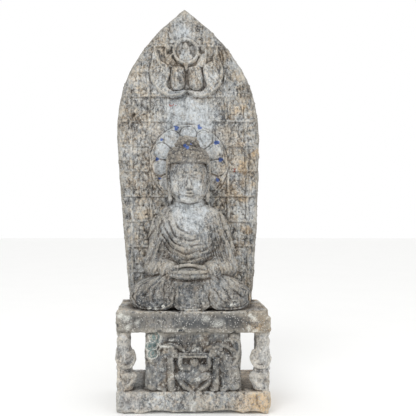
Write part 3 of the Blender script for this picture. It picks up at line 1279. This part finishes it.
def paint_stele(made, relief):
    points = vertex_array(made.data)
    x, y, z = points.T
    height = z - SHELF_TOP
    facing = ramp(-normal_array(made.data)[:, 1], -0.2, 0.4)
    on_wall = ramp(y, WALL_Y - 30, WALL_Y - 18) * ramp(y, BACK_Y - 8, WALL_Y + 4) * ramp(height, 0, 8)
    blotch = lattice_noise(points, 40, 81, 3)
    fleck = lattice_noise(points, 7, 84, 2)

    # Bleached stone on the leaf, in the halo's petals, on the light ribs, the chest and the face.
    pale = 1.7 * leaf_bleach(x, height) * on_wall * ramp(height, 0, 60)
    inside, petals, lines = halo_pattern(x, height)
    pale = np.maximum(pale, inside * on_wall * (0.1 + 0.95 * petals) * ramp(x, 150, -40))
    rib = ramp(np.abs(x + 176 + 1.5 * np.sin(height / 30)), 6, 2) * ramp(np.abs(height - 230), 150, 100)
    rib = np.maximum(rib, 0.6 * ramp(np.abs(x - 152), 5, 2) * ramp(np.abs(height - 300), 230, 180))
    pale = np.maximum(pale, 0.6 * rib * on_wall)
    px, pd, pz = figure_axes(x, y, z)
    forward = ramp(y, WALL_Y - 20, WALL_Y - 40)
    rho = np.hypot(px / (1 + 0.02 * np.maximum(pz - 52, 0)), np.maximum(52.5 - pz, 0) / 1.17)
    chest = (0.65 * ramp(rho, 10.5, 8.5) + 0.3 * ramp(rho, 19, 12)) * forward * ramp(pz, 64.5, 62)
    pale = np.maximum(pale, 0.95 * chest)
    face = ramp(np.hypot(px / 10, (pz - 73) / 11.5), 1.1, 0.9) * ramp(pd, 17, 20) * ramp(pz, 83.6, 82.6)
    pale = np.maximum(pale, 0.5 * face * ramp(pz, 82, 70))
    pale = np.clip(pale * (1 + 0.5 * blotch), 0, 1)

    # Dark crust on the leaf's rim, the shelf, the robe and the hair.
    shelf = ramp(height, 2, -2)
    body = forward * ramp(height, 2, 10) * (1 - chest) * (1 - face)
    hair = ramp(pz, 82.4, 83.2) * ramp(y, WALL_Y - 14, WALL_Y - 20) * ramp(np.hypot(px, pz - 86), 17, 15)
    temples = ramp(np.abs(px), 11.5, 12.3) * ramp(pz, 66, 71) * ramp(np.abs(px), 15, 14) * ramp(pz, 84, 83)
    hair = np.maximum(hair, 0.8 * temples * ramp(y, WALL_Y - 2, WALL_Y - 8))
    edge = ramp(-leaf_outline_distance(x, height), 26, 6) * on_wall * ramp(height, 0, 40)
    lap = ramp(pz, 21, 18)
    rim = 1.3 * ramp(-leaf_outline_distance(x, height), 9, 3) * on_wall * ramp(height, 0, 40)
    dark = np.maximum.reduce([rim, 1.65 * shelf * ramp(height, -1, -4), (0.85 + 0.3 * lap) * body,
                              1.45 * hair, 0.5 * edge, 0.75 * face * ramp(pz, 72, 80)])
    dark = dark * (1 - 0.4 * forward * ramp(px, 0, 14) * ramp(pz, 18, 26))

    # Dirt in the creases of the relief and the cloth.
    crease = relief.crease_at(x, height) * on_wall * 0.5 + 0.75 * lines * on_wall
    folds = fold_creases(points) if made.name.endswith("figure") else 0.0
    set_value(made, "crease", np.clip(np.maximum(crease, folds), -1, 1.2) * facing)
    set_value(made, "pale", pale)
    set_value(made, "dark", np.clip(dark * (1 + 0.35 * blotch), 0, 1.9))

    # Ochre stains, traces of paint and crusts of lichen.
    patch = ramp(lattice_noise(points, 34, 83, 2), 0.35, 0.8)
    right = ramp(x, 90, 200)
    beige = np.maximum(ramp(np.hypot(x - 171, height + 18), 12, 6),
                       ramp(np.hypot(x - 154, height + 41), 11, 6))
    yellow = 1.2 * ramp(np.hypot(x - 160, 0.5 * (height - 416)) + 3 * fleck, 11, 4) * on_wall
    ochre = np.maximum.reduce([patch * (0.15 + 0.75 * right) + 0.35 * right * shelf + 0.12 * hair,
                               beige * shelf, yellow])
    set_value(made, "ochre", np.clip(ochre, 0, 1))
    set_value(made, "red", ragged_spots(x, height, RED_PAINT, fleck, 3, 0.4) * on_wall)
    from_halo = height - HALO_HEIGHT
    blue = np.maximum(ragged_spots(x, from_halo, BLUE_ON_HALO, fleck, 4.5, 0.4) * on_wall,
                      ragged_spots(x, from_halo, BLUE_ON_HAIR, fleck, 4.5, 0.4) * forward)
    set_value(made, "blue", blue)
    crust = ragged_spots(x, height, SHELF_CRUST, fleck, 6, 0.5) * ramp(y, WALL_Y - 90, WALL_Y - 110)
    scattered = ramp(lattice_noise(points, 14, 85, 2), 0.86, 1.0)
    speckled = ramp(lattice_noise(points, 7, 86, 2), 0.66, 0.85) * (0.35 + 0.65 * shelf)
    crust = np.maximum.reduce([crust, 0.45 * scattered, 0.8 * speckled])
    set_value(made, "crust", crust)
    soften(made, "hollow", 0.2 * on_wall * ramp(height, 560, 640))


def fold_creases(points):
    """Dirt that has gathered under the laps of the figure's cloth."""
    x, y, z = points.T
    robe = robe_folds(x, y, z) * ramp(z, SHELF_TOP + 21 * U, SHELF_TOP + 24 * U)
    skirt = skirt_folds(x, y, z) * ramp(z, SHELF_TOP + 20 * U, SHELF_TOP + 17 * U)
    px, pd, pz = figure_axes(x, y, z)
    away = near_lines(px + 0.35 * np.sin(pz * 1.1), pz, KNEE_FOLDS)
    lines = 0.8 * ramp(away, 0.85, 0.2) * ramp(pd, 20, 25)
    gap = ramp(np.hypot((px + 1) / 7.5, (pz - 23.4) / 1.0), 1.15, 0.8) * ramp(pd, 28, 30)
    edge = near_lines(px, pz, [[(-19, 43), (-17, 39), (-13.6, 34.4), (-9, 31), (-5, 29)]])
    edge = ramp(edge, 1.4, 0.4) * ramp(pd, 17, 20)
    lines = np.maximum.reduce([lines, 1.3 * gap, edge])
    return ramp(-robe, 0.2, 3.0) + np.maximum(ramp(-skirt, 0.6, 2.2), lines) - 0.75 * ramp(robe, 1, 4)


def paint_pedestal(made, relief):
    points = vertex_array(made.data)
    x, y, z = points.T
    facing = ramp(-normal_array(made.data)[:, 1], -0.2, 0.4)
    blotch = lattice_noise(points, 40, 91, 3)
    fleck = lattice_noise(points, 8, 92, 2)
    inner = ramp(np.abs(x), BLOCK_HALF_WIDTH + 6, BLOCK_HALF_WIDTH - 2)
    inner = inner * ramp(z, FOOT_HEIGHT - 2, FOOT_HEIGHT + 6)
    leg = ramp(np.hypot((x + 62) / 15, (z - 108) / 52), 1.1, 0.7) * inner * facing
    blot = 1.3 * ramp(np.hypot(x + 88, z - 15) + 3 * fleck, 15, 8) * facing
    slate = 0.5 * ramp(np.abs(x - 45), 85, 60) * ramp(z, FOOT_HEIGHT + 4, FOOT_HEIGHT - 4)
    slate = np.maximum(slate, blot)
    shaded = 1.3 * ramp(np.abs(z - FOOT_HEIGHT), 8, 4) * ramp(y, FRONT_Y + 22, FRONT_Y + 40)
    slate = np.maximum(slate, shaded)
    dark = np.maximum(1.3 * inner * ramp(y, BACK_Y, FRONT_Y + 60), slate)
    set_value(made, "dark", np.clip(dark * (1 + 0.3 * blotch), 0, 1.4))
    set_value(made, "crease", np.clip(0.75 * relief.crease_at(x, z), -1, 1) * inner * facing)
    foot = ramp(z, FOOT_HEIGHT + 4, FOOT_HEIGHT - 4)
    posts = ramp(np.abs(x), BLOCK_HALF_WIDTH + 8, BLOCK_HALF_WIDTH + 18)
    pale = 0.3 * foot * (0.6 + 0.6 * ramp(x, -60, -120)) + 0.55 * posts + 0.55 * leg
    set_value(made, "pale", np.clip(pale * (1 + 0.5 * blotch), 0, 1))
    right = ramp(x + 4 * fleck, 110, 128) * (0.5 + 0.5 * ramp(x, 125, 200)) * ramp(z, 72, 50)
    patch = ramp(lattice_noise(points, 36, 93, 2), 0.3, 0.8)
    spot_of_ochre = ramp(np.hypot(x + 113, z - 143), 6, 3) * facing
    ochre = 1.15 * right * (1 + 0.4 * blotch) + 0.3 * patch + 0.2 * posts + spot_of_ochre
    set_value(made, "ochre", np.clip(ochre, 0, 1.2))

    # Blue-green paint daubed on the left supporter, with a light rim, and crusts of lichen.
    front = ramp(y, FRONT_Y + 26, FRONT_Y + 18)
    daub = np.full(len(points), 99.0)
    for cx, cz, r in DAUBS:
        daub = np.minimum(daub, np.hypot(x - cx, z - cz) / r)
    daub = daub + 0.2 * fleck
    branch = np.hypot((x + 86) / 20, (z - 187) / 3) + 0.3 * fleck
    swirl = 0.8 * ramp(np.abs(daub - 0.5), 0.16, 0.05)
    set_value(made, "teal", (ramp(daub, 0.95, 0.75) - swirl) * front)
    rim = np.maximum.reduce([ramp(np.abs(daub - 1.02), 0.22, 0.1), ramp(branch, 1.0, 0.7), 0.6 * swirl])
    scattered = ramp(lattice_noise(points, 12, 94, 2), 0.84, 1.0)
    speckled = ramp(lattice_noise(points, 7, 95, 2), 0.62, 0.82) * inner
    seam = ramp(np.abs(x + 4 + 2 * np.sin(z / 7)), 2.6, 1.0) * ramp(z, 50, 42) * ramp(z, 4, 10)
    crust = np.maximum.reduce([0.85 * rim * front, 0.75 * scattered, 0.6 * speckled, 0.8 * seam * front])
    set_value(made, "crust", crust)


# Materials.

class Nodes:
    """Shorthand for a shader's nodes."""

    def __init__(self, material):
        self.tree = material.node_tree
        self.tree.nodes.clear()

    def add(self, kind, **settings):
        node = self.tree.nodes.new(kind)
        for name, value in settings.items():
            setattr(node, name, value)
        return node

    def link(self, source, target):
        self.tree.links.new(source, target)

    def put(self, socket, value):
        if isinstance(value, bpy.types.NodeSocket):
            self.link(value, socket)
        else:
            socket.default_value = value

    def math(self, operation, a, b=0.0, clamp=False):
        node = self.add("ShaderNodeMath", operation=operation, use_clamp=clamp)
        self.put(node.inputs[0], a)
        self.put(node.inputs[1], b)
        return node.outputs[0]

    def times(self, a, b, clamp=False):
        return self.math("MULTIPLY", a, b, clamp)

    def plus(self, a, b):
        return self.math("ADD", a, b)

    def weighted(self, *terms):
        """The sum of values, each times its weight."""
        total = self.times(*terms[0])
        for value, weight in terms[1:]:
            total = self.plus(total, self.times(value, weight))
        return total

    def spread(self, value, low, high, to_low=0.0, to_high=1.0):
        node = self.add("ShaderNodeMapRange", interpolation_type="SMOOTHSTEP")
        for socket, given in zip(node.inputs, (value, low, high, to_low, to_high)):
            self.put(socket, given)
        return node.outputs[0]

    def mix(self, factor, a, b, blend="MIX"):
        node = self.add("ShaderNodeMix", data_type="RGBA", blend_type=blend)
        self.put(node.inputs["Factor"], factor)
        colours = [s for s in node.inputs if s.type == "RGBA"]
        self.put(colours[0], a)
        self.put(colours[1], b)
        return next(s for s in node.outputs if s.type == "RGBA")

    def noise(self, position, scale, detail=4.0, roughness=0.6):
        node = self.add("ShaderNodeTexNoise")
        self.link(position, node.inputs["Vector"])
        node.inputs["Scale"].default_value = scale
        node.inputs["Detail"].default_value = detail
        node.inputs["Roughness"].default_value = roughness
        return node.outputs["Fac"]

    def stretched(self, position, shares):
        node = self.add("ShaderNodeVectorMath", operation="MULTIPLY")
        self.link(position, node.inputs[0])
        node.inputs[1].default_value = shares
        return node.outputs[0]

    def cells(self, position, scale):
        node = self.add("ShaderNodeTexVoronoi")
        self.link(position, node.inputs["Vector"])
        node.inputs["Scale"].default_value = scale
        return node.outputs["Distance"], node.outputs["Color"]

    def value(self, name):
        return self.add("ShaderNodeAttribute", attribute_name=name).outputs["Fac"]


def limestone(name, light):
    """Pitted, weathered limestone. light scales its colours."""
    material = bpy.data.materials.new(name)
    material.use_nodes = True
    n = Nodes(material)
    position = n.add("ShaderNodeTexCoord").outputs["Object"]
    fine = n.noise(position, 330, 4, 0.75)
    grain = n.noise(position, 170, 4, 0.7)
    streak = n.noise(n.stretched(position, (1, 1, 0.36)), 165, 4, 0.65)
    mottle = n.noise(position, 62, 5, 0.68)
    broad = n.noise(position, 15, 5, 0.62)
    hue = n.noise(position, 120, 5, 0.7)
    hue_broad = n.noise(position, 21, 5, 0.65)
    hollow = n.value("hollow")

    def shade(r, g, b):
        return (r * light, g * light, b * light, 1)

    # Mid-grey stone, mottled in sizes from grains to hands, with marks of running water.
    tone = n.weighted((fine, 0.6), (grain, 0.55), (streak, 0.9), (mottle, 0.6), (broad, 0.75))
    tone = n.spread(tone, 1.42, 1.98)
    colour = n.mix(tone, shade(0.06, 0.057, 0.053), shade(0.72, 0.70, 0.65))
    drift = n.plus(hue, n.times(hue_broad, 0.9))
    tan = n.times(n.spread(drift, 0.92, 1.1), n.spread(n.value("dark"), 0.2, 1.0, 0.55, 0.35))
    colour = n.mix(tan, colour, n.mix(tone, shade(0.13, 0.085, 0.05), shade(0.74, 0.59, 0.40)))
    cool = n.times(n.spread(drift, 0.96, 0.80), 0.45)
    colour = n.mix(cool, colour, n.mix(tone, shade(0.055, 0.066, 0.085), shade(0.54, 0.61, 0.68)))
    vein_noise = n.math("ABSOLUTE", n.math("SUBTRACT", n.noise(position, 75, 3, 0.6), 0.5))
    vein = n.times(n.spread(vein_noise, 0.022, 0.004), n.spread(mottle, 0.45, 0.6))
    colour = n.mix(n.times(vein, 0.6), colour, shade(0.06, 0.05, 0.04))

    # Dark crust, bleached stone and ochre stains.
    dark = n.times(n.value("dark"), 0.46, clamp=True)
    colour = n.mix(dark, colour, shade(0.042, 0.05, 0.06))
    pale = n.times(n.value("pale"), n.spread(n.plus(grain, mottle), 0.72, 1.12, 0.35, 1.0))
    bleached = n.mix(tone, shade(0.36, 0.39, 0.41), shade(0.70, 0.74, 0.77))
    colour = n.mix(n.times(pale, 0.95), colour, bleached)
    ochre = n.times(n.value("ochre"), n.spread(grain, 0.28, 0.55))
    colour = n.mix(n.times(ochre, 0.7), colour, n.mix(tone, shade(0.22, 0.13, 0.06), shade(0.76, 0.52, 0.25)))

    # Dirt in the hollows and creases, worn light stone on what stands out.
    dirt = n.spread(n.plus(hollow, n.times(mottle, 0.3)), 0.17, 0.75)
    crease = n.times(n.value("crease"), n.spread(mottle, 0.3, 0.6, 0.55, 1.0))
    dirt = n.math("MAXIMUM", n.times(dirt, 0.8), n.times(n.spread(crease, 0.12, 0.9), 0.75))
    colour = n.mix(dirt, colour, n.mix(tone, shade(0.022, 0.018, 0.014), shade(0.15, 0.12, 0.095)))
    worn = n.plus(n.spread(hollow, -0.05, -0.5), n.spread(n.value("crease"), -0.15, -0.8))
    colour = n.mix(n.times(worn, 0.33, clamp=True), colour, shade(0.60, 0.55, 0.46))

    # Pale grains, dark pits and crusts of lichen.
    distance, random = n.cells(position, 210)
    chosen = n.math("GREATER_THAN", random, 0.7)
    grains = n.times(n.spread(distance, 0.45, 0.25), chosen)
    colour = n.mix(n.times(grains, n.spread(dark, 0.1, 0.5, 0.28, 0.5)), colour, shade(0.72, 0.70, 0.66))
    pit_distance, pit_random = n.cells(position, 150)
    pitted = n.times(n.spread(pit_distance, 0.42, 0.2), n.math("GREATER_THAN", pit_random, 0.7))
    colour = n.mix(n.times(pitted, 0.38), colour, shade(0.04, 0.036, 0.03))
    crust = n.times(n.value("crust"), n.spread(fine, 0.38, 0.5))
    colour = n.mix(crust, colour, shade(0.76, 0.76, 0.71))

    # Traces of old paint.
    paint = n.spread(n.plus(n.value("blue"), n.times(grain, 0.9)), 0.85, 1.15)
    colour = n.mix(n.times(paint, 0.92), colour, n.mix(tone, (0.03, 0.06, 0.2, 1), (0.12, 0.2, 0.5, 1)))
    red = n.spread(n.plus(n.value("red"), n.times(grain, 0.6)), 0.8, 1.1)
    colour = n.mix(n.times(red, 0.75), colour, (0.32, 0.07, 0.04, 1))
    verdigris = n.spread(n.plus(n.value("teal"), n.times(grain, 0.8)), 0.9, 1.25)
    teal = n.mix(n.spread(fine, 0.4, 0.6), (0.08, 0.16, 0.17, 1), (0.32, 0.42, 0.40, 1))
    colour = n.mix(n.times(verdigris, 0.75), colour, teal)

    height = n.weighted((fine, 0.35), (grain, 0.6), (mottle, 1.0))
    height = n.math("SUBTRACT", height, n.times(pitted, 0.4))
    bump = n.add("ShaderNodeBump")
    bump.inputs["Strength"].default_value = 1.0
    bump.inputs["Distance"].default_value = 0.005
    n.link(height, bump.inputs["Height"])
    shader = n.add("ShaderNodeBsdfPrincipled")
    n.link(colour, shader.inputs["Base Color"])
    n.link(n.spread(fine, 0.3, 0.7, 0.96, 0.82), shader.inputs["Roughness"])
    shader.inputs["Specular IOR Level"].default_value = 0.25
    n.link(bump.outputs["Normal"], shader.inputs["Normal"])
    output = n.add("ShaderNodeOutputMaterial")
    n.link(shader.outputs["BSDF"], output.inputs["Surface"])
    return material


def plain(name, colour, roughness):
    """The floor's finish: pale, with the faintest unevenness."""
    material = bpy.data.materials.new(name)
    material.use_nodes = True
    n = Nodes(material)
    position = n.add("ShaderNodeTexCoord").outputs["Object"]
    tone = n.spread(n.noise(position, 3), 0.3, 0.7, 0.0, 0.04)
    shader = n.add("ShaderNodeBsdfPrincipled")
    n.link(n.mix(tone, colour, (0.7, 0.7, 0.7, 1)), shader.inputs["Base Color"])
    shader.inputs["Roughness"].default_value = roughness
    output = n.add("ShaderNodeOutputMaterial")
    n.link(shader.outputs["BSDF"], output.inputs["Surface"])
    return material


# Dress the two stones.

stele_pieces, leaf_relief = build_stele()
stele_stone = limestone("weathered limestone", 1.0)
for piece in stele_pieces:
    paint_stele(piece, leaf_relief)
    set_points(piece, lean(vertex_array(piece.data)))
    piece.data.materials.append(stele_stone)
    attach(piece, "root")
    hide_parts("stele")

pedestal, block_relief = build_pedestal()
paint_pedestal(pedestal, block_relief)
pedestal.data.materials.append(limestone("pale limestone", 1.05))
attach(pedestal, "root")
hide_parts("pedestal")

# Floor, light and camera.

FLOOR_HALF = 12.0
FLOOR_DROP = 0.0005
floor_corners = [(FLOOR_HALF * a, FLOOR_HALF * b, 0) for a, b in ((-1, -1), (1, -1), (1, 1), (-1, 1))]
floor_mesh = bpy.data.meshes.new("floor")
floor_mesh.from_pydata(floor_corners, [], [(0, 1, 2, 3)])
floor = bpy.data.objects.new("floor", floor_mesh)
bpy.context.scene.collection.objects.link(floor)
floor.location.z = -FLOOR_DROP
floor.data.materials.append(plain("pale floor", (0.94, 0.94, 0.93, 1), 0.9))

bpy.context.scene.view_settings.view_transform = "Standard"
world = bpy.data.worlds.new("studio")
world.use_nodes = True
world.node_tree.nodes["Background"].inputs["Color"].default_value = (1, 1, 1, 1)
world.node_tree.nodes["Background"].inputs["Strength"].default_value = 1.0
bpy.context.scene.world = world


def area_light(name, place, aim, size, power):
    data = bpy.data.lights.new(name, "AREA")
    data.shape = "DISK"
    data.size = size
    data.energy = power
    made = bpy.data.objects.new(name, data)
    made.location = place
    toward = Vector(aim) - Vector(place)
    made.rotation_euler = toward.to_track_quat("-Z", "Y").to_euler()
    bpy.context.scene.collection.objects.link(made)


area_light("key", (-1.0, -1.9, 3.0), aim=(0, 0, 0.6), size=1.4, power=26)
area_light("fill", (1.8, -2.4, 1.3), aim=(0, 0, 0.5), size=2.0, power=6)

# The photograph was taken level, a little left of the middle, with the picture shifted.
CAMERA_PLACE = (-0.066, -1.720, 0.556)
camera_data = bpy.data.cameras.new("camera")
camera_data.sensor_width = 36.0
camera_data.lens = 49.6
camera_data.shift_x = 0.092
camera_data.shift_y = 0.0168
camera = bpy.data.objects.new("camera", camera_data)
camera.location = CAMERA_PLACE
camera.rotation_euler = (math.pi / 2, 0, 0)
bpy.context.scene.collection.objects.link(camera)
bpy.context.scene.camera = camera
